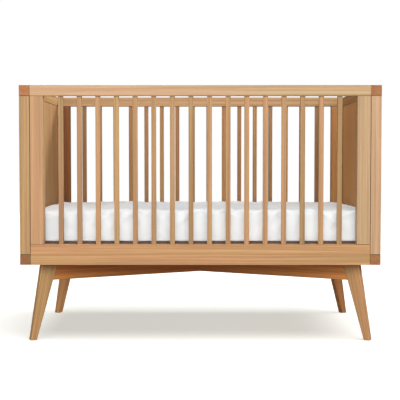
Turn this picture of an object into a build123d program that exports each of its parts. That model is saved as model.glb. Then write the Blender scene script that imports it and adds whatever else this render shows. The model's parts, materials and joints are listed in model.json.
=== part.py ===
from build123d import *
import math
import os

# Baby crib, in millimetres. +Z is up, +X runs along the crib and -Y is its front.
# The origin is on the floor, under the middle of the crib.

# Overall sizes
length = 1412.0
depth = 793.0
height = 1008.0
leg_height = 306.0

# Square stock of the frames, and the two pieces that differ from it
stock = 41.0
bottom_rail_height = 80.0
stile_width = 52.5
edge_round = 1.5

# Slats
slat_count = 16
slat_width = 19.0
slat_depth = 19.0
slat_round = 2.5
slat_end_gap = 57.0

# Joints in the wood
tenon_length = 12.0
tenon_thickness = 14.0
tenon_shoulder = 9.0
mortise_clearance = 0.2
mortise_spare_depth = 1.0

# End panels
panel_thickness = 20.0
panel_setback = 2.0
panel_tongue = 8.0

# Legs and crossed beams, in the upright planes of the two diagonals
leg_inset_x = 99.5
leg_inset_y = 87.0
leg_splay = 68.5
leg_top_width = 66.0
leg_foot_width = 24.5
leg_thickness = 30.0
leg_round = 3.0
beam_height = 69.0
beam_thickness = 28.0
beam_round = 2.0
beam_tenon_height = 40.0
beam_tenon_thickness = 12.0
ledge_width = 98.0
ledge_thickness = 20.0

# Mattress
mattress_gap = 10.0
mattress_thickness = 127.0
mattress_corner = 50.0
mattress_edge = 12.0

# Mattress support, with the top of its deck this far above the underside of the box
deck_rise = 86.0
support_gap = 1.0
support_end_gap = 4.0
angle_leg = 20.0
angle_drop = 18.0
angle_thickness = 2.5
deck_bar_count = 11
deck_bar_width = 25.0
bracket_width = 36.0
bracket_rise = 28.0
bracket_thickness = 3.0
bracket_inset = 27.0

# Holes for the support bolts
height_step = 46.0
steps_below = 1
steps_above = 3
support_hole_rise = 14.0
support_hole_depth = 20.0

# Fasteners
bolt_radius = 3.0
bolt_length = 60.0
head_radius = 5.0
head_height = 5.0
hole_clearance = 0.2
recess_radius = 6.5
corner_recess = 8.0
ledge_recess = 6.0
barrel_radius = 5.0
barrel_length = 16.0
barrel_back = 5.0
corner_bolt_inset = 40.0
leg_bolt_spacing = 24.0

# Holes that take a rail's bolts, this far below the top, in the faces of the stiles that
# look at the slats
rail_hole_drop = 136.0
rail_hole_depth = 24.0

# Places worked out from the sizes above
half_length = length / 2
half_depth = depth / 2
inner_x = half_length - stock
inner_y = half_depth - stock
side_y = half_depth - stock / 2
post_x = half_length - stock / 2
stile_inner_x = inner_x - stile_width
rail_top = leg_height + bottom_rail_height
top_rail_low = height - stock
end_rail_top = leg_height + stock
deck_height = leg_height + deck_rise
hole_radius = bolt_radius + hole_clearance
slat_pitch = (2 * stile_inner_x - 2 * slat_end_gap - slat_width) / (slat_count - 1)

leg_top_x = half_length - leg_inset_x
leg_top_y = half_depth - leg_inset_y
leg_top_reach = math.hypot(leg_top_x, leg_top_y)
leg_foot_reach = leg_top_reach + leg_splay
beam_low = leg_height - beam_height
beam_middle = leg_height - beam_height / 2

bracket_x = inner_x - bracket_inset
bracket_y = inner_y - support_gap
support_hole_z = deck_height + support_hole_rise
support_x = inner_x - support_end_gap
support_low = deck_height - angle_drop
plate_low = deck_height - angle_thickness
support_wall_x = support_x - angle_thickness
support_wall_y = bracket_y - bracket_thickness
support_flange_x = support_x - angle_leg
support_flange_y = bracket_y - angle_leg
rail_hole_height = height - rail_hole_drop
corner_bolt_heights = [rail_top + corner_bolt_inset, top_rail_low - corner_bolt_inset]


def block(low, high):
    """A plain block between two opposite corners."""
    size = [b - a for a, b in zip(low, high)]
    middle = [(a + b) / 2 for a, b in zip(low, high)]
    return Pos(*middle) * Box(*size)


def bar(low, high, along, rounding=edge_round):
    """A block with its four long edges eased."""
    solid = block(low, high)
    return fillet(solid.edges().filter_by(along), rounding)


def span(side, near, far):
    """The low and high ends of a stretch on the negative (-1) or positive (1) side."""
    return sorted((side * near, side * far))


def rod(start, direction, radius, run):
    """A round bar of a given run, from a point along a direction."""
    return extrude(Plane(origin=start, z_dir=direction) * Circle(radius), amount=run)


def upright(x, y, low, high, width, thickness, rounding):
    """An upright bar of rounded rectangular section, width along X, centred on (x, y)."""
    section = Plane(origin=(x, y, low)) * RectangleRounded(width, thickness, rounding)
    return extrude(section, amount=high - low)


# Slats and side frames

def slat_places():
    """The X places of the slats, evenly spaced between the stiles."""
    first = -slat_pitch * (slat_count - 1) / 2
    return [first + i * slat_pitch for i in range(slat_count)]


def slat(side, x):
    """One slat with its ends let into the two rails."""
    low = rail_top - tenon_length
    high = top_rail_low + tenon_length
    return upright(x, side * side_y, low, high, slat_width, slat_depth, slat_round)


def slat_mortise(side, x, low, high):
    """The space that the end of a slat fits."""
    grow = 2 * mortise_clearance
    rounding = slat_round + mortise_clearance
    return upright(x, side * side_y, low, high, slat_width + grow, slat_depth + grow, rounding)


def stile_tenon(side, end, grow, low, high):
    """The tongue between a stile and a rail, or with grow the mortise that it fits."""
    x0, x1 = span(end, stile_inner_x + tenon_shoulder - grow, inner_x - tenon_shoulder + grow)
    half = tenon_thickness / 2 + grow
    return block((x0, side * side_y - half, low), (x1, side * side_y + half, high))


def side_mortises(side, low, high):
    """All the mortises of one side rail."""
    cuts = [slat_mortise(side, x, low, high) for x in slat_places()]
    cuts += [stile_tenon(side, end, mortise_clearance, low, high) for end in (-1, 1)]
    return cuts


def side_top_rail(side):
    """The upper long rail of the front or rear."""
    y0, y1 = span(side, inner_y, half_depth)
    rail = bar((-inner_x, y0, top_rail_low), (inner_x, y1, height), Axis.X)
    mortise_top = top_rail_low + tenon_length + mortise_spare_depth
    return rail - side_mortises(side, top_rail_low - 1, mortise_top)


def side_bottom_rail(side):
    """The deep lower long rail of the front or rear, with its lowest support bolt holes."""
    y0, y1 = span(side, inner_y, half_depth)
    rail = bar((-inner_x, y0, leg_height), (inner_x, y1, rail_top), Axis.X)
    mortise_low = rail_top - tenon_length - mortise_spare_depth
    rail -= side_mortises(side, mortise_low, rail_top + 1)
    return rail - support_holes(side, leg_height, rail_top)


def support_holes(side, low, high):
    """The blind holes for the support bolts between two heights, from the inner face."""
    holes = []
    for step in range(-steps_below, steps_above + 1):
        z = support_hole_z + step * height_step
        if low < z < high:
            for end in (-1, 1):
                start = (end * bracket_x, side * (inner_y - 1), z)
                holes.append(rod(start, (0, side, 0), hole_radius, support_hole_depth + 1))
    return holes


def stile(side, end):
    """A stile with its tongues, bolt holes, support holes and rail hole."""
    y0, y1 = span(side, inner_y, half_depth)
    x0, x1 = span(end, stile_inner_x, inner_x)
    piece = bar((x0, y0, rail_top), (x1, y1, top_rail_low), Axis.Z)
    piece += stile_tenon(side, end, 0, rail_top - tenon_length, rail_top + 1)
    piece += stile_tenon(side, end, 0, top_rail_low - 1, top_rail_low + tenon_length)
    piece -= support_holes(side, rail_top, top_rail_low)
    for z in corner_bolt_heights:
        piece -= corner_bolt_hole(side, end, z)
        piece -= barrel_hole(side, end, z)
    rail_hole_start = (end * (stile_inner_x - 1), side * side_y, rail_hole_height)
    return piece - rod(rail_hole_start, (end, 0, 0), hole_radius, rail_hole_depth + 1)


# Bolts that hold the side frames between the end frames

def corner_seat(end):
    """Where the head of a corner bolt seats, in X."""
    return end * (half_length - corner_recess)


def barrel_x(end):
    """The middle of a barrel nut, in X."""
    return corner_seat(end) - end * (bolt_length - barrel_back)


def corner_bolt(side, end, z):
    """A bolt with its barrel nut."""
    seat = (corner_seat(end), side * side_y, z)
    bolt = rod(seat, (end, 0, 0), head_radius, head_height)
    bolt += rod(seat, (-end, 0, 0), bolt_radius, bolt_length)
    nut_start = (barrel_x(end), side * side_y - barrel_length / 2, z)
    return bolt + rod(nut_start, (0, 1, 0), barrel_radius, barrel_length)


def corner_bolt_hole(side, end, z):
    """The hole that a corner bolt passes through."""
    start = (end * (half_length + 1), side * side_y, z)
    run = corner_recess + bolt_length + 1 + mortise_spare_depth
    return rod(start, (-end, 0, 0), hole_radius, run)


def corner_bolt_recess(side, end, z):
    """The recess for the head of a corner bolt."""
    start = (end * (half_length + 1), side * side_y, z)
    return rod(start, (-end, 0, 0), recess_radius, corner_recess + 1)


def barrel_hole(side, end, z):
    """The hole that a barrel nut is pushed into from the inner face of the stile."""
    start = (barrel_x(end), side * (inner_y - 1), z)
    run = stock / 2 + barrel_length / 2 + 1 + mortise_spare_depth
    return rod(start, (0, side, 0), barrel_radius + hole_clearance, run)


# End frames

def post_tenon(side, end, grow, low, high):
    """The tongue between a post and an end rail, or with grow the mortise that it fits."""
    half = tenon_thickness / 2 + grow
    x = end * post_x
    y = side * side_y
    return block((x - half, y - half, low), (x + half, y + half, high))


def panel_block(end, grow):
    """The panel with its tongues, or with grow the grooves that it fits."""
    x0, x1 = span(end, inner_x + panel_setback - grow, inner_x + panel_setback + panel_thickness + grow)
    reach = inner_y + panel_tongue + grow
    low = end_rail_top - panel_tongue - grow
    return block((x0, -reach, low), (x1, reach, top_rail_low + panel_tongue + grow))


def end_panel(end):
    """The panel, smaller than its grooves by the mortise clearance."""
    return panel_block(end, -mortise_clearance)


def post(side, end):
    """A corner post with its tongues, its groove for the panel and its bolt holes."""
    x0, x1 = span(end, inner_x, half_length)
    y0, y1 = span(side, inner_y, half_depth)
    piece = bar((x0, y0, end_rail_top), (x1, y1, top_rail_low), Axis.Z)
    piece += post_tenon(side, end, 0, end_rail_top - tenon_length, end_rail_top + 1)
    piece += post_tenon(side, end, 0, top_rail_low - 1, top_rail_low + tenon_length)
    piece -= panel_block(end, 0)
    for z in corner_bolt_heights:
        piece -= corner_bolt_hole(side, end, z)
        piece -= corner_bolt_recess(side, end, z)
    return piece


def end_top_rail(end):
    """The upper rail of an end frame, which runs from front to back."""
    x0, x1 = span(end, inner_x, half_length)
    rail = bar((x0, -half_depth, top_rail_low), (x1, half_depth, height), Axis.Y)
    rail -= panel_block(end, 0)
    mortise_top = top_rail_low + tenon_length + mortise_spare_depth
    for side in (-1, 1):
        rail -= post_tenon(side, end, mortise_clearance, top_rail_low - 1, mortise_top)
    return rail


def end_bottom_rail(end):
    """The lower rail of an end frame, with the ledge that the legs are bolted up to."""
    x0, x1 = span(end, inner_x, half_length)
    rail = bar((x0, -half_depth, leg_height), (x1, half_depth, end_rail_top), Axis.Y)
    ledge_x0, ledge_x1 = span(end, inner_x - ledge_width, inner_x + edge_round)
    ledge_top = leg_height + ledge_thickness
    reach = inner_y - mortise_clearance
    rail += block((ledge_x0, -reach, leg_height), (ledge_x1, reach, ledge_top))
    rail -= panel_block(end, 0)
    mortise_low = end_rail_top - tenon_length - mortise_spare_depth
    for side in (-1, 1):
        rail -= post_tenon(side, end, mortise_clearance, mortise_low, end_rail_top + 1)
        rail -= leg_bolt_holes(side, end)
    return rail


# Legs and crossed beams

def diagonal(side, end):
    """The upright plane of one diagonal: its X runs out towards the leg, its Y is up."""
    out_x = end * leg_top_x / leg_top_reach
    out_y = side * leg_top_y / leg_top_reach
    return Plane(origin=(0, 0, 0), x_dir=(out_x, out_y, 0), z_dir=(out_y, -out_x, 0))


def board(plane, outline, thickness):
    """A board of a given outline, centred on its plane."""
    return extrude(plane * make_face(Polyline(*outline, close=True)), amount=thickness / 2, both=True)


def leg_inner_reach(z):
    """How far from the middle the inner edge of a leg is at a height."""
    top = leg_top_reach - leg_top_width / 2
    foot = leg_foot_reach - leg_foot_width / 2
    return foot + (top - foot) * z / leg_height


def beam_tenon(plane, grow):
    """The tongue between a beam and a leg, or with grow the mortise that it fits."""
    near = leg_inner_reach(leg_height) - tenon_length
    far = leg_inner_reach(beam_middle) + tenon_length + (mortise_spare_depth if grow else 0)
    low = beam_middle - beam_tenon_height / 2 - grow
    high = beam_middle + beam_tenon_height / 2 + grow
    outline = [(near, low), (far, low), (far, high), (near, high)]
    return board(plane, outline, beam_tenon_thickness + 2 * grow)


def leg_bolt_places(side, end):
    """The X and Y places of the two bolts of a leg."""
    plane = diagonal(side, end)
    reaches = (leg_top_reach, leg_top_reach + leg_bolt_spacing)
    return [plane.x_dir * reach for reach in reaches]


def leg_bolt_seat(place):
    """Where the head of a leg bolt seats in the ledge."""
    return (place.X, place.Y, leg_height + ledge_thickness - ledge_recess)


def leg_bolt(place):
    """A bolt down through the ledge into the top of a leg."""
    seat = leg_bolt_seat(place)
    bolt = rod(seat, (0, 0, 1), head_radius, head_height)
    return bolt + rod(seat, (0, 0, -1), bolt_radius, bolt_length)


def leg_bolt_holes(side, end):
    """The holes of a leg's bolts, through the ledge and into the leg."""
    holes = []
    for place in leg_bolt_places(side, end):
        seat = leg_bolt_seat(place)
        holes.append(rod(seat, (0, 0, 1), recess_radius, ledge_recess + 1))
        holes.append(rod(seat, (0, 0, -1), hole_radius, bolt_length + mortise_spare_depth))
    return holes


def leg(side, end):
    """A tapered leg that splays outwards along its diagonal."""
    plane = diagonal(side, end)
    outline = [
        (leg_foot_reach - leg_foot_width / 2, 0),
        (leg_foot_reach + leg_foot_width / 2, 0),
        (leg_top_reach + leg_top_width / 2, leg_height),
        (leg_top_reach - leg_top_width / 2, leg_height),
    ]
    piece = board(plane, outline, leg_thickness)
    long_edges = [edge for edge in piece.edges() if edge.length > 0.9 * leg_height]
    piece = fillet(long_edges, leg_round)
    piece -= beam_tenon(plane, mortise_clearance)
    return piece - leg_bolt_holes(side, end)


def beam_outline():
    """A beam's outline: its ends follow the inner edges of the legs."""
    low_reach = leg_inner_reach(beam_low)
    top_reach = leg_inner_reach(leg_height)
    return [
        (-low_reach, beam_low),
        (low_reach, beam_low),
        (top_reach, leg_height),
        (-top_reach, leg_height),
    ]


def halving(plane, low, high):
    """The notch that the other beam, in the given plane, crosses through."""
    reach = beam_thickness * 4
    outline = [(-reach, low), (reach, low), (reach, high), (-reach, high)]
    return board(plane, outline, beam_thickness + 2 * mortise_clearance)


def beam(side, low, high):
    """A beam between two legs, notched between two heights for the other beam."""
    plane = diagonal(side, 1)
    piece = board(plane, beam_outline(), beam_thickness)
    long_edges = [edge for edge in piece.edges() if edge.length > leg_top_reach]
    piece = fillet(long_edges, beam_round)
    piece += [beam_tenon(plane, 0), beam_tenon(diagonal(-side, -1), 0)]
    return piece - halving(diagonal(-side, 1), low, high)


# Mattress and its support

def mattress():
    """A plain block with rounded corners and softened edges."""
    half_x = inner_x - mattress_gap
    half_y = inner_y - mattress_gap
    top = deck_height + mattress_thickness
    pad = bar((-half_x, -half_y, deck_height), (half_x, half_y, top), Axis.Z, mattress_corner)
    flat_faces = pad.faces().filter_by(Axis.Z)
    return fillet(flat_faces.edges(), mattress_edge)


def support_frame():
    """The welded steel deck: an angle along each edge, flat bars across, a spine and brackets."""
    members = [long_angle(side) for side in (-1, 1)] + [end_angle(end) for end in (-1, 1)]
    members += deck_bars()
    members.append(spine())
    members += [bracket(side, end) for side in (-1, 1) for end in (-1, 1)]
    return Compound(children=members)


def long_angle(side):
    """The steel angle along the front or rear edge, the full length of the deck."""
    y0, y1 = span(side, support_wall_y, bracket_y)
    wall = block((-support_x, y0, support_low), (support_x, y1, deck_height))
    y0, y1 = span(side, support_flange_y, bracket_y)
    return wall + block((-support_x, y0, plate_low), (support_x, y1, deck_height))


def end_angle(end):
    """The steel angle along an end, coped to fit between the long ones."""
    x0, x1 = span(end, support_wall_x, support_x)
    wall = block((x0, -support_wall_y, support_low), (x1, support_wall_y, plate_low))
    x0, x1 = span(end, support_flange_x, support_x)
    return wall + block((x0, -support_flange_y, plate_low), (x1, support_flange_y, deck_height))


def deck_bars():
    """The flat bars from the front angle to the rear one, evenly spaced."""
    pitch = 2 * support_flange_x / (deck_bar_count + 1)
    half = deck_bar_width / 2
    places = [(i + 1) * pitch - support_flange_x for i in range(deck_bar_count)]
    return [
        block((x - half, -support_flange_y, plate_low), (x + half, support_flange_y, deck_height))
        for x in places
    ]


def spine():
    """The flat bar that runs under the others from end to end."""
    half = deck_bar_width / 2
    low = (-support_wall_x, -half, plate_low - angle_thickness)
    return block(low, (support_wall_x, half, plate_low))


def bracket(side, end):
    """A plate that stands up from the long angle, beside the mattress at a corner."""
    y0, y1 = span(side, support_wall_y, bracket_y)
    x0, x1 = span(end, bracket_x - bracket_width / 2, bracket_x + bracket_width / 2)
    plate = block((x0, y0, deck_height), (x1, y1, deck_height + bracket_rise))
    return plate - bracket_hole(side, end)


def bracket_hole(side, end):
    """The bolt hole of a bracket."""
    start = (end * bracket_x, side * (bracket_y - bracket_thickness - 1), support_hole_z)
    return rod(start, (0, side, 0), hole_radius, bracket_thickness + 2)


def support_bolt(side, end):
    """A bolt through a bracket, with its shank as long as the bracket is thick."""
    seat = (end * bracket_x, side * (bracket_y - bracket_thickness), support_hole_z)
    bolt = rod(seat, (0, -side, 0), head_radius, head_height)
    return bolt + rod(seat, (0, side, 0), bolt_radius, bracket_thickness)


# Every piece by name

def all_pieces():
    """The name and the shape of every piece."""
    sides = {"front": -1, "rear": 1}
    ends = {"left": -1, "right": 1}
    pieces = {}
    for side_name, side in sides.items():
        for i, x in enumerate(slat_places()):
            pieces[f"{side_name}_slat_{i + 1:02d}"] = slat(side, x)
        pieces[f"{side_name}_top_rail"] = side_top_rail(side)
        pieces[f"{side_name}_bottom_rail"] = side_bottom_rail(side)
        for end_name, end in ends.items():
            pieces[f"{side_name}_{end_name}_stile"] = stile(side, end)
            pieces[f"{side_name}_{end_name}_post"] = post(side, end)
            pieces[f"{side_name}_{end_name}_leg"] = leg(side, end)
    for end_name, end in ends.items():
        pieces[f"{end_name}_top_rail"] = end_top_rail(end)
        pieces[f"{end_name}_bottom_rail"] = end_bottom_rail(end)
        pieces[f"{end_name}_panel"] = end_panel(end)
    pieces["lower_cross_beam"] = beam(1, beam_middle, leg_height + 1)
    pieces["upper_cross_beam"] = beam(-1, beam_low - 1, beam_middle + mortise_clearance)
    pieces["mattress"] = mattress()
    pieces["mattress_support"] = support_frame()
    corners = [(side, end) for side in (-1, 1) for end in (-1, 1)]
    bolts = [corner_bolt(side, end, z) for side, end in corners for z in corner_bolt_heights]
    bolts += [leg_bolt(place) for side, end in corners for place in leg_bolt_places(side, end)]
    pieces["frame_bolts"] = Compound(children=bolts)
    pieces["support_bolts"] = Compound(children=[support_bolt(side, end) for side, end in corners])
    return pieces


os.makedirs("parts", exist_ok=True)
for name, shape in all_pieces().items():
    export_step(shape, f"parts/{name}.step")
    print(name, round(shape.volume))
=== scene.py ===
# %% [markdown]
# # A baby crib, built round its CAD frame
#
# The crib is a wooden box frame on four splayed legs. The CAD model holds every board, bolt and
# the steel deck; this script gives them their finishes and makes what is soft: a foam mattress
# and the fitted cotton sheet pulled over it. Everything is in metres, in the CAD frame.

import json
import math

import bpy
import numpy as np
from mathutils import Matrix, Vector


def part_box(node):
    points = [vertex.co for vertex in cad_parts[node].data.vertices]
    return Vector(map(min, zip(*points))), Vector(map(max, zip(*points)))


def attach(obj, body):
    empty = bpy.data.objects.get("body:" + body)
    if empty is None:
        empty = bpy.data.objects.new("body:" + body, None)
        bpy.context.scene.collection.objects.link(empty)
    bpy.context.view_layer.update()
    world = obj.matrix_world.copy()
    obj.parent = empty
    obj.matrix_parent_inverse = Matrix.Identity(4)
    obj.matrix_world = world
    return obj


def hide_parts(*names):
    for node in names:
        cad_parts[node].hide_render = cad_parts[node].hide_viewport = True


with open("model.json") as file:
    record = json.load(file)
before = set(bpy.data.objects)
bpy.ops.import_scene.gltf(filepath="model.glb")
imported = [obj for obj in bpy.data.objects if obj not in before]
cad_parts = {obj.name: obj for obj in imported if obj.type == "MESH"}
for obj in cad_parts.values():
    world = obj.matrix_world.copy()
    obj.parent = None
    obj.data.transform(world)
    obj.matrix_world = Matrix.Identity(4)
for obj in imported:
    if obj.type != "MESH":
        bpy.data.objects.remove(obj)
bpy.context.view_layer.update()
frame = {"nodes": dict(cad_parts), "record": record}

# %% [markdown]
# ## The camera
#
# A long lens from about four metres keeps the two ends of the crib nearly parallel. It could be
# placed by eye, but a distance, a height and a small tilt down say the same thing in numbers
# that can be read, and the focal length then only sets how large the crib sits in the frame.

# %% Camera
CAMERA_DISTANCE = 3.717
CAMERA_HEIGHT = 0.721
CAMERA_SIDE = 0.008
TILT_DOWN = 0.0431
TURN_LEFT = 0.0024
LENS_MM = 85.73
SENSOR_MM = 36.0

scene = bpy.context.scene
front_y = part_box("front_top_rail")[0].y
camera_data = bpy.data.cameras.new("camera")
camera_data.lens = LENS_MM
camera_data.sensor_width = SENSOR_MM
camera = bpy.data.objects.new("camera", camera_data)
camera.location = (CAMERA_SIDE, front_y - CAMERA_DISTANCE, CAMERA_HEIGHT)
camera.rotation_euler = (math.pi / 2 - TILT_DOWN, 0, TURN_LEFT)
scene.collection.objects.link(camera)
scene.camera = camera
scene.view_settings.view_transform = "Standard"
print("camera at", [round(v, 3) for v in camera.location])

# %% [markdown]
# ## Meshes from arrays
#
# Every new surface below is worked out with numpy as an array of points and an array of faces.
# One helper hands such arrays to Blender. Pushing vertices about in edit mode would also work,
# but arrays keep the formula of each shape in plain sight.


# %% Mesh helper
def make_object(name, points, faces, material=None, smooth=True):
    """A mesh object at the origin from an (n, 3) array of points and a list of faces."""
    mesh = bpy.data.meshes.new(name)
    mesh.from_pydata([], [], [])
    mesh.vertices.add(len(points))
    mesh.vertices.foreach_set("co", np.asarray(points, np.float32).ravel())
    faces = np.asarray(faces, np.int32)
    corners = faces.shape[1]
    mesh.loops.add(faces.size)
    mesh.loops.foreach_set("vertex_index", faces.ravel())
    mesh.polygons.add(len(faces))
    mesh.polygons.foreach_set("loop_start", np.arange(len(faces), dtype=np.int32) * corners)
    mesh.polygons.foreach_set("use_smooth", np.full(len(faces), smooth))
    mesh.update(calc_edges=True)
    mesh.validate()
    if material:
        mesh.materials.append(material)
    made = bpy.data.objects.new(name, mesh)
    scene.collection.objects.link(made)
    return made


# %% [markdown]
# The direction of a leg, the cloth simulation and the folds all need the points of a mesh as
# one array, and the last two put them back. A loop over the points would be easier to read,
# but slow for a net as fine as the sheet's.


# %% Reading and writing points
def read_points(mesh):
    """The vertices of a mesh as an (n, 3) array."""
    flat = np.empty(len(mesh.vertices) * 3, np.float64)
    mesh.vertices.foreach_get("co", flat)
    return flat.reshape(-1, 3)


def read_normals(mesh):
    """The vertex normals of a mesh as an (n, 3) array."""
    flat = np.empty(len(mesh.vertices) * 3, np.float32)
    mesh.vertices.foreach_get("normal", flat)
    return flat.reshape(-1, 3).astype(np.float64)


def write_points(mesh, points):
    """Puts an (n, 3) array back into a mesh."""
    mesh.vertices.foreach_set("co", np.asarray(points, np.float32).ravel())
    mesh.update()


# %% [markdown]
# ## Floor and light
#
# A studio shot on white has a floor that fades into its backdrop. Here the floor that the camera
# sees is a pale disc whose rim sweeps up, a surface of revolution: a profile turned round the
# upright axis. It is left out of the light that bounces about, and a plain darker floor just
# under it does that work, so the underside of the crib stays as deep in tone as on a real set.

# %% A swept surface
FLOOR_RADIUS = 9.0
SWEEP_RADIUS = 6.0


def sweep_surface(radius, rise, steps_round=64, steps_up=14):
    """A flat disc whose rim turns up along a quarter circle, turned round the upright axis."""
    turn = np.linspace(0, math.pi / 2, steps_up)
    reach = np.concatenate([[0.001, 0.5 * radius, radius], radius + rise * np.sin(turn[1:])])
    level = np.concatenate([[0, 0, 0], rise * (1 - np.cos(turn[1:]))])
    angle = np.linspace(0, 2 * math.pi, steps_round, endpoint=False)
    x = reach[:, None] * np.cos(angle)
    y = reach[:, None] * np.sin(angle)
    z = np.repeat(level[:, None], steps_round, axis=1)
    points = np.stack([x, y, z], axis=-1).reshape(-1, 3)
    row, column = np.meshgrid(np.arange(len(reach) - 1), np.arange(steps_round), indexing="ij")
    after = (column + 1) % steps_round
    corners = [
        row * steps_round + column,
        (row + 1) * steps_round + column,
        (row + 1) * steps_round + after,
        row * steps_round + after,
    ]
    return points, np.stack(corners, axis=-1).reshape(-1, 4)


def plain_material(name, colour, glow=0.0, glow_colour=(1, 1, 1)):
    """A matt paper-like surface that may glow a little."""
    material = bpy.data.materials.new(name)
    material.use_nodes = True
    shader = material.node_tree.nodes["Principled BSDF"]
    shader.inputs["Base Color"].default_value = (*colour, 1)
    shader.inputs["Roughness"].default_value = 1.0
    shader.inputs["Specular IOR Level"].default_value = 0.0
    shader.inputs["Emission Color"].default_value = (*glow_colour, 1)
    shader.inputs["Emission Strength"].default_value = glow
    return material


# %% [markdown]
# Three sheets of paper make the set: the floor that is seen, a lit one just under it that keeps
# the far background plain white, and the darker one that only throws light back up. They lie
# a few millimetres apart, so that no two share a plane.

# %% Floor
PAPER_GLOW = 0.57
GREENISH_WHITE = (1, 1.01, 0.95)
BACKDROP_DROP = 0.010
BOUNCE_DROP = 0.002
BOUNCE_RISE = 0.01

paper = plain_material("paper_floor", (0.88, 0.88, 0.88), PAPER_GLOW, GREENISH_WHITE)
lit_paper = plain_material("lit_paper", (0.1, 0.1, 0.1), 1.0)
bounce_paper = plain_material("bounce_paper", (0.40, 0.34, 0.28))
seen_floor = make_object("floor", *sweep_surface(FLOOR_RADIUS, SWEEP_RADIUS), paper)
backdrop = make_object("backdrop", *sweep_surface(FLOOR_RADIUS - 0.5, SWEEP_RADIUS), lit_paper)
backdrop.data.transform(Matrix.Translation((0, 0, -BACKDROP_DROP)))
bounce_floor = make_object("bounce_floor", *sweep_surface(FLOOR_RADIUS, BOUNCE_RISE), bounce_paper)
bounce_floor.data.transform(Matrix.Translation((0, 0, -BOUNCE_DROP)))
bounce_floor.visible_camera = False
for surface in (seen_floor, backdrop):
    surface.visible_diffuse = False
    surface.visible_glossy = False
    surface.visible_shadow = False
print("floor reaches", FLOOR_RADIUS, "m and sweeps up", SWEEP_RADIUS, "m")

# %% [markdown]
# The key light is a wide soft box in front, to the right, with a fill on the left, which is why
# the inside of the box frame falls off into shade. A smaller one behind on the right reaches over
# the rear rail and draws a slanted patch of light inside the left end. One overhead lights the
# bedding, and a weak one at the far left lifts the edges that face it. Small bright lamps
# would give hard shadows.
#
# Light linking keeps all of them off the paper, so that the floor's brightness can be set by
# itself and the light on the wood can't wash it out.

# %% Soft boxes
MIDDLE = Vector((0, 0, 0.6))


def only_on(name, surface, state):
    """A light-linking collection that includes or excludes one surface."""
    chosen = bpy.data.collections.new(name)
    chosen.objects.link(surface)
    chosen.collection_objects[0].light_linking.link_state = state
    return chosen


all_but_paper = only_on("all_but_paper", seen_floor, "EXCLUDE")


def soft_box(name, place, width, height, watts):
    """A rectangular area light aimed at the middle of the crib, which leaves the paper alone."""
    data = bpy.data.lights.new(name, "AREA")
    data.shape = "RECTANGLE"
    data.size = width
    data.size_y = height
    data.energy = watts
    lamp = bpy.data.objects.new(name, data)
    lamp.location = place
    lamp.rotation_euler = (MIDDLE - Vector(place)).to_track_quat("-Z", "Y").to_euler()
    lamp.light_linking.receiver_collection = all_but_paper
    scene.collection.objects.link(lamp)


soft_box("key_light", place=(1.9, -4.4, 2.5), width=4.6, height=3.0, watts=182)
soft_box("front_fill", place=(-1.8, -4.7, 1.9), width=4.0, height=2.6, watts=132)
soft_box("top_light", place=(0.4, -0.2, 3.4), width=2.0, height=1.4, watts=38)
soft_box("side_light", place=(3.4, 1.7, 2.1), width=0.7, height=0.7, watts=130)
soft_box("left_fill", place=(-3.6, -1.8, 1.0), width=0.9, height=1.4, watts=26)
print(len(bpy.data.lights), "soft boxes")

# %% [markdown]
# The paper has a light of its own: a broad parallel one from above that leans a little, so the
# crib's soft shadow lies under it and a touch to one side. A wide angle does what a large
# diffuser does on a real set. A weak warm sky, the colour of a wooden room, fills the rest.

# %% Floor light and sky
SUN_STRENGTH = 2.75
SUN_ANGLE = math.radians(62)
SUN_LEAN = (0.20, 0.22, 0)
SKY_COLOUR = (1, 0.74, 0.52, 1)
SKY_STRENGTH = 0.045

floor_data = bpy.data.lights.new("floor_light", "SUN")
floor_data.energy = SUN_STRENGTH
floor_data.angle = SUN_ANGLE
floor_light = bpy.data.objects.new("floor_light", floor_data)
floor_light.rotation_euler = SUN_LEAN
scene.collection.objects.link(floor_light)
floor_light.light_linking.receiver_collection = only_on("paper_only", seen_floor, "INCLUDE")

world = bpy.data.worlds.new("studio")
scene.world = world
world.use_nodes = True
sky = world.node_tree.nodes["Background"]
sky.inputs["Color"].default_value = SKY_COLOUR
sky.inputs["Strength"].default_value = SKY_STRENGTH
print("floor light", SUN_STRENGTH, "sky", SKY_STRENGTH)

# %% [markdown]
# ## Small helpers for shader nodes
#
# A material is a graph. Writing each node with three lines of set-up hides the idea, so these
# helpers add one node, fill its inputs with numbers or with other nodes' outputs, and return
# the output that the next node needs.


# %% Shader helpers
def add(tree, kind, inputs=None, output=0, **settings):
    """Adds a node, sets its properties and its inputs, and returns one of its outputs."""
    made = tree.nodes.new(kind)
    for name, value in settings.items():
        setattr(made, name, value)
    for name, value in (inputs or {}).items():
        if isinstance(value, bpy.types.NodeSocket):
            tree.links.new(value, made.inputs[name])
        else:
            made.inputs[name].default_value = value
    return made.outputs[output]


def maths(tree, operation, a, b=0.0):
    """One step of arithmetic on two numbers."""
    return add(tree, "ShaderNodeMath", {0: a, 1: b}, operation=operation)


def vectors(tree, operation, a, b=(0, 0, 0), output=0):
    """One step of arithmetic on two vectors."""
    return add(tree, "ShaderNodeVectorMath", {0: a, 1: b}, output, operation=operation)


def split(tree, vector):
    """The three numbers of a vector."""
    parts = tree.nodes.new("ShaderNodeSeparateXYZ")
    tree.links.new(vector, parts.inputs[0])
    return parts.outputs


def ease(tree, value, low, high, to_low=0.0, to_high=1.0):
    """Maps low..high to to_low..to_high with a smooth start and end."""
    inputs = {0: value, 1: low, 2: high, 3: to_low, 4: to_high}
    return add(tree, "ShaderNodeMapRange", inputs, interpolation_type="SMOOTHSTEP")


def blend_colours(tree, share, a, b, how="MIX"):
    """Mixes colour b into colour a by a share from 0 to 1."""
    inputs = {0: share, 6: a, 7: b}
    return add(tree, "ShaderNodeMix", inputs, 2, data_type="RGBA", blend_type=how)


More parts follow.
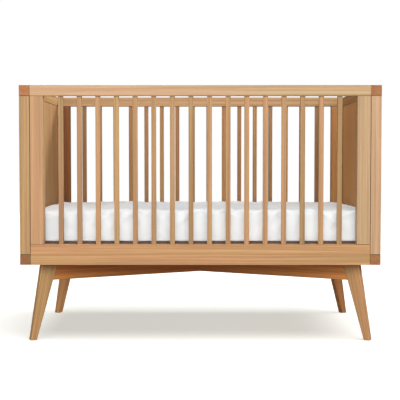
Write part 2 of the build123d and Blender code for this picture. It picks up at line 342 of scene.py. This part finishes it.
def scale_colour(tree, colour, share):
    """A colour made lighter or darker by a factor."""
    inputs = {0: colour, "Scale": share}
    return add(tree, "ShaderNodeVectorMath", inputs, operation="SCALE")


def chance_of(tree, number):
    """A random number from 0 to 1 that belongs to a whole number."""
    return add(tree, "ShaderNodeTexWhiteNoise", {"W": number}, noise_dimensions="1D")


def noise(tree, vector, scale, detail=2.0, roughness=0.5):
    """Cloudy noise from 0 to 1, centred on one half."""
    inputs = {"Vector": vector, "Scale": scale, "Detail": detail, "Roughness": roughness}
    return add(tree, "ShaderNodeTexNoise", inputs)


def new_material(name):
    """An empty node material: its name, its tree and its principled shader."""
    material = bpy.data.materials.new(name)
    material.use_nodes = True
    return material, material.node_tree, material.node_tree.nodes["Principled BSDF"]


# %% [markdown]
# ## Pine
#
# Wood is a solid pattern, not a skin: a tree's rings run round its heart, and a board is cut
# somewhere out of them. So the colour is worked out from the distance to an imaginary heart
# line beside the piece. Long faces then show straight or arched grain, and the cut ends show
# the rings themselves, with no seam between them. Painting a flat grain on each face is the
# usual short cut, and it gives itself away at every corner.
#
# Each piece gets its own heart line, so no two boards match.

# %% Pine colours
EARLY_WOOD = (0.575, 0.335, 0.155, 1)
LATE_WOOD = (0.385, 0.180, 0.060, 1)
PINK_CAST = (1.05, 0.93, 0.92, 1)
YELLOW_CAST = (0.98, 1.02, 0.90, 1)
END_GRAIN_CAST = (0.82, 0.66, 0.58, 1)
END_GRAIN_RING = (0.235, 0.095, 0.040, 1)
RING_SPACING = 0.0042
HEART_DISTANCE = (0.10, 0.22)


def grain_turn(grain, face):
    """The turn that lays the grain along Z and the face's outward direction along Y."""
    along = Vector(grain).normalized()
    out = Vector(face)
    out = (out - along * out.dot(along)).normalized()
    return Matrix((out.cross(along), out, along)).to_euler()


# %% [markdown]
# Edges that hands touch lose a little of their finish and catch the light. A point is near an
# edge of a bar when two of its three distances to the bar's sides are small at once, which is
# the second largest of the three signed distances.


# %% Edge wear
def edge_nearness(tree, place, low, high, reach):
    """From 0 away from the edges of a box to 1 on them, over a reach in metres."""
    middle = (low + high) / 2
    half = (high - low) / 2
    from_middle = vectors(tree, "ABSOLUTE", vectors(tree, "SUBTRACT", place, middle))
    x, y, z = split(tree, vectors(tree, "SUBTRACT", from_middle, half))
    pairs = [maths(tree, "MINIMUM", a, b) for a, b in ((x, y), (y, z), (z, x))]
    nearest = maths(tree, "MAXIMUM", maths(tree, "MAXIMUM", pairs[0], pairs[1]), pairs[2])
    return ease(tree, nearest, -reach, 0.0)


# %% [markdown]
# Where two boards meet there is a fine dark line, part gap and part shadow. The planes of the
# joints are known from the boxes of the pieces, so the line is drawn by distance to them. A
# true gap in the model would show the same, but the joints are tight and have none.

# %% Joint lines
SEAM_COLOUR = (0.055, 0.026, 0.012, 1)
SEAM_HALF_WIDTH = 0.0020
SEAM_DARKNESS = 0.92


def seam_shade(tree, place, seams):
    """Dark within a hair's breadth of the planes where a piece meets its neighbours."""
    distances = split(tree, place)
    shade = None
    for axis, value in seams:
        away = maths(tree, "ABSOLUTE", maths(tree, "SUBTRACT", distances[axis], value))
        near = ease(tree, away, 0.3 * SEAM_HALF_WIDTH, SEAM_HALF_WIDTH, SEAM_DARKNESS, 0.0)
        shade = near if shade is None else maths(tree, "MAXIMUM", shade, near)
    return shade


# %% [markdown]
# Wide pieces are glued up from strips, and each strip is cut from another part of the tree.
# A random jump along and across the wood, one for each strip, does that, and a faint line is
# left where two strips meet.

# %% Glued strips
GLUE_HALF_WIDTH = 0.0009
JUMP_ACROSS = 0.35
JUMP_ALONG = 3.0


def strip_shift(tree, across, strip_width):
    """A random number for each glued strip, and how near a point is to a glue line."""
    position = maths(tree, "DIVIDE", across, strip_width)
    chance = chance_of(tree, maths(tree, "FLOOR", position))
    to_line = maths(tree, "ABSOLUTE", maths(tree, "SUBTRACT", maths(tree, "FRACT", position), 0.5))
    return chance, ease(tree, to_line, 0.5 - GLUE_HALF_WIDTH / strip_width, 0.5)


# %% [markdown]
# The rings are the largest detail. The wood is squeezed along the board first, so that the
# slow wander of the rings is drawn out into long arches. Each ring starts pale, darkens slowly
# through the summer and stops at a sharp edge, and no two rings are equally dark.

# %% Growth rings
HEART_LEAN = 0.55
RING_WANDER = 0.055
RING_SQUEEZE = 0.045
FIBRE_SQUEEZE = 0.012


def board_space(tree, place, grain, face, box):
    """How far a point lies across, into and along a board, from the board's middle."""
    low, high = box
    turn = grain_turn(grain, face)
    middle = turn.to_matrix() @ ((low + high) / 2)
    inputs = {"Vector": place, "Rotation": turn, "Location": -middle}
    return split(tree, add(tree, "ShaderNodeMapping", inputs))


def squeezed(tree, across, depth, along, share):
    """A point with its length scaled down, so that a pattern is drawn out along the grain."""
    inputs = {0: across, 1: depth, 2: maths(tree, "MULTIPLY", along, share)}
    return add(tree, "ShaderNodeCombineXYZ", inputs)


def growth_rings(tree, wood, rng):
    """The share of dark late wood, from the distance to a heart line beside the board."""
    side = rng.choice((-1, 1))
    reach = rng.uniform(*HEART_DISTANCE)
    lean = rng.uniform(-HEART_LEAN, HEART_LEAN)
    heart = (side * reach * math.cos(lean), reach * math.sin(lean), 0)
    wander = noise(tree, wood, 7.0, 3.0)
    from_heart = vectors(tree, "MULTIPLY", vectors(tree, "ADD", wood, heart), (1, 1, 0))
    radius = vectors(tree, "LENGTH", from_heart, output=1)
    radius = maths(tree, "ADD", radius, maths(tree, "MULTIPLY", wander, RING_WANDER))
    rings = maths(tree, "DIVIDE", radius, RING_SPACING)
    chance = chance_of(tree, maths(tree, "FLOOR", rings))
    phase = maths(tree, "FRACT", rings)
    rise = ease(tree, phase, 0.30, 0.88)
    fall = ease(tree, phase, 0.93, 1.0, 1.0, 0.0)
    strength = ease(tree, chance, 0, 1, 0.30, 1.0)
    return maths(tree, "MULTIPLY", maths(tree, "MULTIPLY", rise, fall), strength)


# %% [markdown]
# Then come streaks of pink and yellow a hand wide that follow the board, bands a centimetre
# wide, and hair-thin fibres. A cut end soaks up more finish than a long face, so the same
# rings show there in darker, redder tones, with a few blotches where the oil went in deep.

# %% Long faces and cut ends
def long_face(tree, late, streak, depth_and_painted_shade):
    """The colour of a planed face before it is shaded."""
    colour = blend_colours(tree, late, EARLY_WOOD, LATE_WOOD)
    cast = blend_colours(tree, ease(tree, streak, 0.32, 0.68), PINK_CAST, YELLOW_CAST)
    colour = blend_colours(tree, 1.0, colour, cast, "MULTIPLY")
    # For pieces in shade the depth deepens the colour as painted shade.
    return add(tree, "ShaderNodeGamma", {"Color": colour, "Gamma": depth_and_painted_shade})


def face_shade(tree, fibre, band, tone, strip):
    """How light a point of a face is: fibres, bands, the board's tone and its glued strips."""
    fibres = ease(tree, fibre, 0.3, 0.7, 0.90, 1.06)
    shade = maths(tree, "ADD", fibres, ease(tree, band, 0.34, 0.66, -0.14, 0.12))
    shade = maths(tree, "MULTIPLY", shade, tone)
    if strip:
        chance, glue_line = strip
        strip_tone = maths(tree, "ADD", maths(tree, "MULTIPLY", chance, 0.16), 0.92)
        line_tone = maths(tree, "SUBTRACT", 1.0, maths(tree, "MULTIPLY", glue_line, 0.22))
        shade = maths(tree, "MULTIPLY", maths(tree, "MULTIPLY", shade, strip_tone), line_tone)
    return shade


def cut_end_colour(tree, colour, late, place):
    """The colour of end grain made from that of the long face."""
    soaked = blend_colours(tree, 1.0, colour, END_GRAIN_CAST, "MULTIPLY")
    blotch = ease(tree, noise(tree, place, 42.0, 3.0), 0.42, 0.62, 0.35, 0.0)
    dark = maths(tree, "MAXIMUM", maths(tree, "MULTIPLY", late, 0.7), blotch)
    return blend_colours(tree, dark, soaked, END_GRAIN_RING)


# %% [markdown]
# One function puts a board together from these parts. It returns a material, because each
# piece needs its own: the direction of the grain, the box of the piece and the heart line
# are all different. A shared material with per-object values would be shorter, but the
# values could then not be read off in one place.

# %% Pine material
WEAR_REACH = 0.004


def pine(name, grain, face, box, look, strip_width, seams, rng):
    """A pine material for one piece, with its grain along a direction.

    look is its tone and its depth: the colour is raised to the depth, then scaled by the tone. For
    pieces in shade or short of light, both hold painted shade or painted light as well as the board's
    own colour.
    """
    tone, depth_and_painted_shade = look
    material, tree, shader = new_material(name)
    coordinates = tree.nodes.new("ShaderNodeTexCoord")
    place = coordinates.outputs["Object"]
    across, depth, along = board_space(tree, place, grain, face, box)
    strip = strip_shift(tree, across, strip_width) if strip_width else None
    if strip:
        across = maths(tree, "ADD", across, maths(tree, "MULTIPLY", strip[0], JUMP_ACROSS))
        along = maths(tree, "ADD", along, maths(tree, "MULTIPLY", strip[0], JUMP_ALONG))
    along = maths(tree, "ADD", along, rng.uniform(-20, 20))
    wood = squeezed(tree, across, depth, along, RING_SQUEEZE)
    fine = squeezed(tree, across, depth, along, FIBRE_SQUEEZE)
    late = growth_rings(tree, wood, rng)
    streak = noise(tree, wood, 16.0, 2.0)
    fibre = noise(tree, fine, 900.0, 3.0, 0.6)
    band = noise(tree, fine, 110.0, 2.0)

    wear = edge_nearness(tree, place, *box, WEAR_REACH)
    wear = maths(tree, "MULTIPLY", wear, ease(tree, noise(tree, place, 45.0), 0.35, 0.65))
    shade = face_shade(tree, fibre, band, tone, strip)
    shade = maths(tree, "ADD", shade, maths(tree, "MULTIPLY", wear, 0.10))
    colour = scale_colour(tree, long_face(tree, late, streak, depth_and_painted_shade), shade)
    line = tuple(Vector(grain).normalized())
    facing = vectors(tree, "DOT_PRODUCT", coordinates.outputs["Normal"], line, 1)
    cut_end = ease(tree, maths(tree, "ABSOLUTE", facing), 0.75, 0.97)
    colour = blend_colours(tree, cut_end, colour, cut_end_colour(tree, colour, late, place))
    if seams:
        colour = blend_colours(tree, seam_shade(tree, place, seams), colour, SEAM_COLOUR)
    tree.links.new(colour, shader.inputs["Base Color"])

    gloss = maths(tree, "ADD", ease(tree, late, 0, 1, 0.50, 0.40), maths(tree, "MULTIPLY", fibre, 0.12))
    gloss = maths(tree, "ADD", gloss, maths(tree, "MULTIPLY", cut_end, 0.15))
    gloss = maths(tree, "SUBTRACT", gloss, maths(tree, "MULTIPLY", wear, 0.10))
    tree.links.new(gloss, shader.inputs["Roughness"])
    shader.inputs["Specular IOR Level"].default_value = 0.35
    height = maths(tree, "ADD", maths(tree, "MULTIPLY", fibre, 0.6), maths(tree, "MULTIPLY", late, 0.4))
    bump = add(tree, "ShaderNodeBump", {"Height": height, "Strength": 0.35, "Distance": 0.00035})
    tree.links.new(bump, shader.inputs["Normal"])
    return material


# %% [markdown]
# Which way the grain runs follows from how the piece is cut: along its length, always. Rails run
# along the crib or across it, posts, stiles, slats and panels stand up, and the beams and legs
# follow the two diagonals of the base, whose direction comes from the legs' own places.

# %% Direction of the grain
PANEL_STRIP = 0.089
RAIL_STRIP = 0.043
LEVEL_SLACK = 0.001
ALONG_CRIB = (1, 0, 0)
ACROSS_CRIB = (0, 1, 0)
UPRIGHT = (0, 0, 1)
FACES_FRONT = (0, -1, 0)
FACES_SIDE = (1, 0, 0)


def leg_line(name):
    """The direction of a leg, from the middle of its top to the middle of its foot."""
    points = read_points(frame["nodes"][name].data)
    level = points[:, 2]
    top = points[level > level.max() - LEVEL_SLACK].mean(axis=0)
    foot = points[level < LEVEL_SLACK].mean(axis=0)
    return Vector(foot - top).normalized()


def grain_of(name):
    """The grain direction, the facing direction and the width of glued strips of a piece."""
    if name.endswith("_leg"):
        down = leg_line(name)
        return down, Vector((down.y, -down.x, 0)), 0.0
    if name.endswith("cross_beam"):
        side = 1 if name.startswith("lower") else -1
        down = leg_line("rear_right_leg")
        along = Vector((abs(down.x), side * abs(down.y), 0)).normalized()
        return along, Vector((along.y, -along.x, 0)), 0.0
    if name.endswith("_panel"):
        return UPRIGHT, FACES_SIDE, PANEL_STRIP
    if name in ("front_bottom_rail", "rear_bottom_rail"):
        return ALONG_CRIB, FACES_FRONT, RAIL_STRIP
    if name in ("front_top_rail", "rear_top_rail"):
        return ALONG_CRIB, FACES_FRONT, 0.0
    if name.endswith("_rail"):
        return ACROSS_CRIB, FACES_SIDE, 0.0
    return UPRIGHT, FACES_FRONT, 0.0


print("a leg leans along", [round(v, 3) for v in leg_line("front_left_leg")])

# %% [markdown]
# No two boards are equally pale. The table below gives the tone of each piece, which is how pale it
# is, and the depth of its colour, where more depth means darker, richer colour. The numbers hold both
# real differences between boards and painted light and shade: pieces in shade inside and under the
# box, such as the rear stiles, rear slats, rear legs and beams, get a deeper, redder colour as painted
# shade, and the right end panel and the beams are made paler as painted light. A name stands for
# every piece whose name contains it, and the first match counts, so exact names come before general
# ones. Chance alone could choose, but then no board could be given its place.

# %% Choice of boards
DEFAULT_LOOK = (0.95, 1.0)
SLAT_SPREAD = 0.10
BOARD_SPREAD = 0.04
# Deeper colour for pieces in shade, and higher tone for pieces short of light, are painted shade and
# painted light.
TONES_AND_PAINTED_SHADE = {
    "front_top_rail": (0.71, 0.72),
    "rear_top_rail": (0.78, 0.90),
    "left_top_rail": (0.92, 1.0),
    "right_top_rail": (0.78, 1.0),
    "left_bottom_rail": (0.60, 1.04),
    "right_bottom_rail": (0.78, 1.0),
    "bottom_rail": (0.88, 0.96),
    "front_left_stile": (0.75, 0.86),
    "front_right_stile": (0.67, 0.71),
    "rear_left_stile": (0.60, 1.58),
    "rear_right_stile": (1.10, 1.24),
    "front_left_post": (0.74, 0.93),
    "front_right_post": (0.73, 0.69),
    "front_slat": (0.69, 0.91),
    "rear_slat": (0.69, 1.06),
    "beam": (1.26, 1.62),
    "rear_left_leg": (1.04, 1.10),
    "rear_right_leg": (0.90, 1.24),
    "leg": (0.79, 0.98),
    "left_panel": (0.84, 0.98),
    "right_panel": (1.22, 1.06),
}


def look_of(name, rng):
    """The tone and depth of a piece, with a little chance in the tone."""
    tone, depth = next((look for key, look in TONES_AND_PAINTED_SHADE.items() if key in name), DEFAULT_LOOK)
    spread = SLAT_SPREAD if "slat" in name else BOARD_SPREAD
    return tone * (1 + spread * rng.uniform(-1, 1)), depth


print(len(TONES_AND_PAINTED_SHADE), "looks chosen")

# %% [markdown]
# The joint lines are read from the boxes of the rails: the two ends of the long rails, the
# underside of the top rails and the tops of the two kinds of bottom rail. They could be typed
# in, but read like this they stay right when a size changes. A plane that a piece doesn't reach
# leaves no mark on it. The last loop then gives every wooden piece a pine of its own.

# %% Joints and the finished boards
x_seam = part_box("front_top_rail")[1].x
top_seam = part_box("front_top_rail")[0].z
low_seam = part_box("front_bottom_rail")[1].z
end_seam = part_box("left_bottom_rail")[1].z


def seams_of(name):
    """The planes, as axis and place, where a piece meets its neighbours in the outer faces."""
    upright = {"stile": [(2, top_seam), (2, low_seam)], "post": [(2, top_seam), (2, end_seam)]}
    kind = name.split("_")[-1]
    if kind in upright:
        return upright[kind] + [(0, x_seam), (0, -x_seam)]
    if name.startswith(("left_", "right_")) and kind == "rail":
        return [(2, top_seam), (2, end_seam)]
    if name.startswith(("front_", "rear_")) and kind == "rail":
        return [(0, x_seam), (0, -x_seam)]
    return []


wood_nodes = [s["node"] for s in frame["record"]["subparts"] if s["material_slot"] == "frame_wood"]
rng = np.random.default_rng(7)
for node_name in wood_nodes:
    grain, face, strip_width = grain_of(node_name)
    look = look_of(node_name, rng)
    seams = seams_of(node_name)
    name = f"pine_{node_name}"
    finish = pine(name, grain, face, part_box(node_name), look, strip_width, seams, rng)
    frame["nodes"][node_name].material_slots[0].material = finish
print(len(wood_nodes), "wooden pieces finished")

# %% [markdown]
# ## Steel
#
# The deck under the mattress is welded steel with a bronze-brown powder coat, with the faint
# orange-peel texture that baked powder leaves. Its dark brown is set so that the strip of deck seen
# in the thin gap under the mattress gives the shade there, so in that gap the coat is partly painted
# shade. The bolts are plated and then browned, so they stay quiet in their holes. Plain grey metal
# would be simpler, but it would draw the eye through the slats.

# %% Powder coat and zinc
# The dark bronze is also painted shade where the deck shows in the gap under the mattress.
BRONZE_DARK = (0.085, 0.038, 0.016, 1)
BRONZE_LIGHT = (0.115, 0.054, 0.025, 1)
ZINC_DARK = (0.16, 0.11, 0.07, 1)
ZINC_LIGHT = (0.30, 0.22, 0.15, 1)


def powder_coat(name):
    """A dark baked coat with a fine pebbled bump."""
    material, tree, shader = new_material(name)
    place = tree.nodes.new("ShaderNodeTexCoord").outputs["Object"]
    mottle = noise(tree, place, 30.0, 3.0)
    colour = blend_colours(tree, ease(tree, mottle, 0.3, 0.7), BRONZE_DARK, BRONZE_LIGHT)
    tree.links.new(colour, shader.inputs["Base Color"])
    tree.links.new(ease(tree, mottle, 0.2, 0.8, 0.42, 0.58), shader.inputs["Roughness"])
    peel = noise(tree, place, 1400.0, 1.0)
    bump = add(tree, "ShaderNodeBump", {"Height": peel, "Strength": 0.4, "Distance": 0.0002})
    tree.links.new(bump, shader.inputs["Normal"])
    return material


def zinc(name):
    """Plated steel with an antique brown passivation, brighter where it is worn."""
    material, tree, shader = new_material(name)
    place = tree.nodes.new("ShaderNodeTexCoord").outputs["Object"]
    cloud = noise(tree, place, 260.0, 3.0)
    colour = blend_colours(tree, ease(tree, cloud, 0.3, 0.7), ZINC_DARK, ZINC_LIGHT)
    tree.links.new(colour, shader.inputs["Base Color"])
    shader.inputs["Metallic"].default_value = 1.0
    tree.links.new(ease(tree, cloud, 0.2, 0.8, 0.28, 0.46), shader.inputs["Roughness"])
    return material


frame["nodes"]["mattress_support"].material_slots[0].material = powder_coat("powder_coat")
bolt_finish = zinc("zinc_plate")
for node_name in ("frame_bolts", "support_bolts"):
    frame["nodes"][node_name].material_slots[0].material = bolt_finish
print("steel deck and bolts finished")

# %% [markdown]
# ## The mattress and its sheet
#
# Both are the same form at two sizes: a block with rounded corners in plan and a softer round
# along its top and bottom edges. It could be a cube with bevels, but a formula gives an even
# net of squares that cloth simulation likes. The net starts as the grid of a plain box, and
# two moves shape it: the first rounds the plan, the second rounds the long edges.


# %% A box of squares
def grid_lines(half, edge, cell, edge_cells):
    """Places from -half to half: even cells in the middle, finer ones near both ends."""
    inner = half - edge
    middle = np.linspace(-inner, inner, max(2, round(2 * inner / cell)) + 1)
    rim = inner + edge * np.linspace(0, 1, edge_cells + 1)[1:]
    return np.concatenate([-rim[::-1], middle, rim])


def box_net(xs, ys, zs):
    """The six faces of a box as one welded net of squares, all facing outwards."""
    points, faces, count = [], [], 0
    for axis, lines in enumerate(((ys, zs), (zs, xs), (xs, ys))):
        ends = (xs, ys, zs)[axis]
        for end, outward in ((ends[0], False), (ends[-1], True)):
            u, v = np.meshgrid(*lines, indexing="ij")
            sheet = np.empty(u.shape + (3,))
            sheet[..., axis] = end
            sheet[..., (axis + 1) % 3] = u
            sheet[..., (axis + 2) % 3] = v
            index = np.arange(u.size).reshape(u.shape) + count
            square = [index[:-1, :-1], index[1:, :-1], index[1:, 1:], index[:-1, 1:]]
            quads = np.stack(square, axis=-1).reshape(-1, 4)
            faces.append(quads if outward else quads[:, ::-1])
            points.append(sheet.reshape(-1, 3))
            count += u.size
    points = np.concatenate(points)
    _, first, back = np.unique(np.round(points, 6), axis=0, return_index=True, return_inverse=True)
    return points[first], back.ravel()[np.concatenate(faces)]


# %% [markdown]
# The rounding is a bend, not a cut. A square corner is bent into a quarter circle by pulling
# each of its nested squares into a nested arc, so every square of the net survives and the
# mattress keeps its outer length and width. A bevel could round it too, but it would cut new
# faces into the even net.


# %% Rounding the box
def soften(points, half, corner, edge_top, edge_bottom):
    """Rounds the plan's corners by one radius and the long edges by another.

    In each corner square the larger of the two offsets keeps its length and becomes the
    distance from the corner's middle, which bends squares into arcs. A point's distance in
    from the outline and down from the top are then bent the same way round the edge.
    """
    sign = np.sign(points)
    edge = np.where(points[:, 2] > 0, edge_top, edge_bottom)
    plan = np.abs(points[:, :2]) - (half[:2] - corner)
    both = np.maximum(plan, 0)
    length = np.maximum(np.hypot(both[:, 0], both[:, 1]), 1e-9)
    turned = both * (both.max(axis=1) / length)[:, None]
    in_corner = (plan > 0).all(axis=1)
    plan = np.where(in_corner[:, None], turned, plan)
    away = np.where(in_corner, np.hypot(*np.maximum(plan, 0).T), plan.max(axis=1))
    inset = corner - away
    direction = np.where(
        in_corner[:, None],
        turned / np.maximum(np.hypot(turned[:, 0], turned[:, 1]), 1e-9)[:, None],
        plan == plan.max(axis=1, keepdims=True),
    )
    a = np.clip(1 - inset / edge, 0, 1)
    b = np.clip(1 - (half[2] - np.abs(points[:, 2])) / edge, 0, 1)
    bend = np.maximum(np.hypot(a, b), 1e-9)
    round_it = (a > 0) & (b > 0)
    new_inset = np.where(round_it, edge - edge * a / bend, inset)
    new_level = np.where(round_it, half[2] - edge + edge * b / bend, np.abs(points[:, 2]))
    plan = plan + direction * (inset - new_inset)[:, None]
    result = np.empty_like(points)
    result[:, :2] = sign[:, :2] * (plan + half[:2] - corner)
    result[:, 2] = sign[:, 2] * new_level
    return result


# %% [markdown]
# Cotton is woven, so its fine bump is crossed threads, with a noise for their uneven thickness.
# The same recipe serves twice: plain and cool white as the sheet, and cream with blue-grey
# stripes as the ticking of the core. A picture of cloth could do it too, but the part would
# have to carry that picture along.

# %% Cotton
THREAD_SCALE = 300.0
STRIPE_COLOUR = (0.35, 0.42, 0.52, 1)


def cotton(name, colour, dark, stripe=0.0):
    """Plain-woven cotton: fine crossed threads, a soft sheen and slow changes of tone."""
    material, tree, shader = new_material(name)
    place = tree.nodes.new("ShaderNodeTexCoord").outputs["Object"]
    cloud = noise(tree, place, 9.0, 3.0)
    base = blend_colours(tree, ease(tree, cloud, 0.3, 0.7), dark, colour)
    if stripe:
        waves = {"Vector": place, "Scale": 1 / stripe}
        bands = add(tree, "ShaderNodeTexWave", waves, 1, bands_direction="X")
        base = blend_colours(tree, ease(tree, bands, 0.75, 0.85, 0.0, 0.4), base, STRIPE_COLOUR)
    tree.links.new(base, shader.inputs["Base Color"])
    shader.inputs["Roughness"].default_value = 0.92
    shader.inputs["Specular IOR Level"].default_value = 0.2
    shader.inputs["Sheen Weight"].default_value = 0.25
    shader.inputs["Sheen Roughness"].default_value = 0.5
    threads = []
    for direction in "XYZ":
        waves = {"Vector": place, "Scale": THREAD_SCALE, "Distortion": 0.6, "Detail": 1.0}
        threads.append(add(tree, "ShaderNodeTexWave", waves, 1, bands_direction=direction))
    weave = maths(tree, "ADD", maths(tree, "MULTIPLY", threads[0], threads[1]), threads[2])
    slub = noise(tree, place, 180.0, 3.0)
    height = maths(tree, "ADD", maths(tree, "MULTIPLY", weave, 0.4), maths(tree, "MULTIPLY", slub, 0.8))
    bump = add(tree, "ShaderNodeBump", {"Height": height, "Strength": 0.25, "Distance": 0.0004})
    tree.links.new(bump, shader.inputs["Normal"])
    return material


# %% [markdown]
# The foam core fills the space of its CAD solid, less a few millimetres at the sides and the
# top for the sheet. Its ticking is a striped cotton. From above it is hidden; from below it shows
# between the bars of the deck.

# %% Mattress core
core_low, core_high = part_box("mattress")
MIDDLE_OF_PAD = np.array((core_low + core_high) / 2)
PAD_HALF = np.array((core_high - core_low) / 2)
SHEET_GAP = 0.006
CORNER_RADIUS = 0.050
TOP_EDGE_RADIUS = 0.017
BOTTOM_EDGE_RADIUS = 0.006
CORE_CELL = 0.03
STRIPE_WIDTH = 0.05


def soft_block(half, cell, edge_cells=4):
    """The net of a softened block, centred on the origin."""
    xs = grid_lines(half[0], CORNER_RADIUS, cell, edge_cells)
    ys = grid_lines(half[1], CORNER_RADIUS, cell, edge_cells)
    zs = grid_lines(half[2], TOP_EDGE_RADIUS, cell, 3)
    points, faces = box_net(xs, ys, zs)
    return soften(points, half, CORNER_RADIUS, TOP_EDGE_RADIUS, BOTTOM_EDGE_RADIUS), faces


core_half = PAD_HALF - SHEET_GAP
core_half[2] = PAD_HALF[2] - SHEET_GAP / 2
core_points, core_faces = soft_block(core_half, CORE_CELL)
core_points = core_points + MIDDLE_OF_PAD - (0, 0, SHEET_GAP / 2)
ticking = cotton("ticking", (0.80, 0.79, 0.76, 1), (0.74, 0.73, 0.70, 1), STRIPE_WIDTH)
core = make_object("mattress_core", core_points, core_faces, ticking)
print("core measures", [round(2 * float(v), 3) for v in core_half])

# %% [markdown]
# A little spare cloth and a light pressure from inside let a simulation settle the sheet into
# shallow, natural ripples. Pinned where it tucks under, it can't drift off the mattress. The
# result is then eased towards a small limit, so the sheet can't dip into the core or swell.

# %% Letting the cloth settle
MOST_MOVE = 0.003
MOST_DIP = 0.4 * MOST_MOVE
SIM_FRAMES = 16
PRESSURE = 0.05
SPARE_CLOTH = 0.004


def limited(move, outward):
    """A move whose part along the surface and part off it both stay within their limits.

    The rise off the surface follows a hyperbolic tangent, which runs straight through zero
    and levels off at the limit.
    """
    rise = (move * outward).sum(axis=1, keepdims=True)
    slide = move - rise * outward
    slide_length = np.linalg.norm(slide, axis=1, keepdims=True)
    slide *= np.minimum(1, MOST_MOVE / np.maximum(slide_length, 1e-9))
    limit = np.where(rise > 0, MOST_MOVE, MOST_DIP)
    return slide + outward * limit * np.tanh(rise / limit)


def settle(piece, pinned):
    """Runs cloth with the pinned points held, and keeps a limited share of its move."""
    group = piece.vertex_groups.new(name="pin")
    group.add([int(i) for i in np.flatnonzero(pinned)], 1.0, "REPLACE")
    before = read_points(piece.data)
    cloth = piece.modifiers.new("cloth", "CLOTH")
    settings = cloth.settings
    settings.quality = 5
    settings.mass = 0.25
    settings.tension_stiffness = 12
    settings.compression_stiffness = 8
    settings.shear_stiffness = 4
    settings.bending_stiffness = 0.08
    settings.use_pressure = True
    settings.uniform_pressure_force = PRESSURE
    settings.shrink_min = -SPARE_CLOTH
    settings.vertex_group_mass = "pin"
    settings.effector_weights.gravity = 0.0
    cloth.point_cache.frame_start = 1
    cloth.point_cache.frame_end = SIM_FRAMES
    for number in range(1, SIM_FRAMES + 1):
        scene.frame_set(number)
    evaluated = piece.evaluated_get(bpy.context.evaluated_depsgraph_get())
    move = read_points(evaluated.data) - before
    piece.modifiers.remove(cloth)
    piece.vertex_groups.remove(group)
    scene.frame_set(1)
    kept_move = limited(move, read_normals(piece.data))
    write_points(piece.data, before + kept_move)
    farthest = np.linalg.norm(kept_move, axis=1).max()
    print(piece.name, "settled, moved by up to", round(float(farthest) * 1000, 2), "mm")


# %% [markdown]
# The fitted sheet covers the top and the sides and is drawn under the core by elastic, so its
# net is the same block with most of its underside left out. It could be a copy of the core
# blown up a little, but the core's net is too coarse to ripple.

# %% Fitted sheet
TUCK = 0.075
SHEET_CELL = 0.012
SHEET_INSET = 0.001
UNDERSIDE_BAND = 0.002
PINNED_BAND = 0.012

sheet_half = PAD_HALF - SHEET_INSET
sheet_points, sheet_faces = soft_block(sheet_half, SHEET_CELL, edge_cells=5)
centre = sheet_points[sheet_faces].mean(axis=1)
inside = (np.abs(centre[:, :2]) < sheet_half[:2] - TUCK).all(axis=1)
keep_face = ~(inside & (centre[:, 2] < UNDERSIDE_BAND - sheet_half[2]))
used = np.unique(sheet_faces[keep_face])
renumber = np.full(len(sheet_points), -1)
renumber[used] = np.arange(len(used))
sheet_points = sheet_points[used]
sheet_faces = renumber[sheet_faces[keep_face]]
percale = cotton("percale", (0.885, 0.955, 1.0, 1), (0.855, 0.925, 0.98, 1))
sheet = make_object("fitted_sheet", sheet_points + MIDDLE_OF_PAD, sheet_faces, percale)
settle(sheet, sheet_points[:, 2] < -sheet_half[2] + PINNED_BAND)

# %% [markdown]
# A sheet pulled over a corner throws a few folds that run in from the top edge at a slant. Each
# is a soft ridge: high along a short line, falling off on both sides like a bell curve, and
# fading at both ends. They are added after the simulation, because its net is too coarse to
# find them, and a subdivision then rounds everything off.

# %% Folds in the sheet
FOLD_COUNT = 64
LONG_SIDE_SHARE = 0.75
SAME_WAY_SHARE = 0.8


def smooth_step(value, low, high):
    """From 0 at low to 1 at high, with a level start and end."""
    t = np.clip((value - low) / (high - low), 0, 1)
    return t * t * (3 - 2 * t)


def fold_height(points, rng, count):
    """The sum of short slanted ridges along the top edge, in metres.

    Places on the cloth are told by the run along the edge and by the distance over it,
    which counts inwards on the top and downwards on the side.
    """
    x, y, z = (points - MIDDLE_OF_PAD).T
    total = np.zeros(len(points))
    for _ in range(count):
        on_long_side = rng.random() < LONG_SIDE_SHARE
        span = (sheet_half[0] if on_long_side else sheet_half[1]) * 0.96
        side = rng.choice((-1, 1))
        start = rng.uniform(-span, span)
        slant = rng.uniform(0.8, 2.0) * rng.choice((-1, 1), p=(SAME_WAY_SHARE, 1 - SAME_WAY_SHARE))
        length = rng.uniform(0.030, 0.085)
        width = rng.uniform(0.006, 0.013)
        height = rng.uniform(0.0035, 0.0075)
        run, across, half = (x, y, sheet_half[1]) if on_long_side else (y, x, sheet_half[0])
        out = side * across - half
        over = np.where(z > sheet_half[2] - 0.01, out, sheet_half[2] - z)
        line = run - start - slant * over
        along = np.exp(-((over + rng.uniform(-0.02, 0.035)) / length) ** 2)
        near_side = smooth_step(out, -0.16, -0.02)
        total += height * np.exp(-((line / width) ** 2)) * along * near_side
    return total


smooth_points = read_points(sheet.data)
ridges = fold_height(smooth_points, np.random.default_rng(23), FOLD_COUNT)
write_points(sheet.data, smooth_points + read_normals(sheet.data) * ridges[:, None])
rounder = sheet.modifiers.new("rounder", "SUBSURF")
rounder.levels = rounder.render_levels = 1
print("sheet has", len(sheet_faces), "faces before subdivision")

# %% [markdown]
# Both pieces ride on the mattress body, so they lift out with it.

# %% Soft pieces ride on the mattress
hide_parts("mattress")
for piece in (core, sheet):
    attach(piece, "mattress")
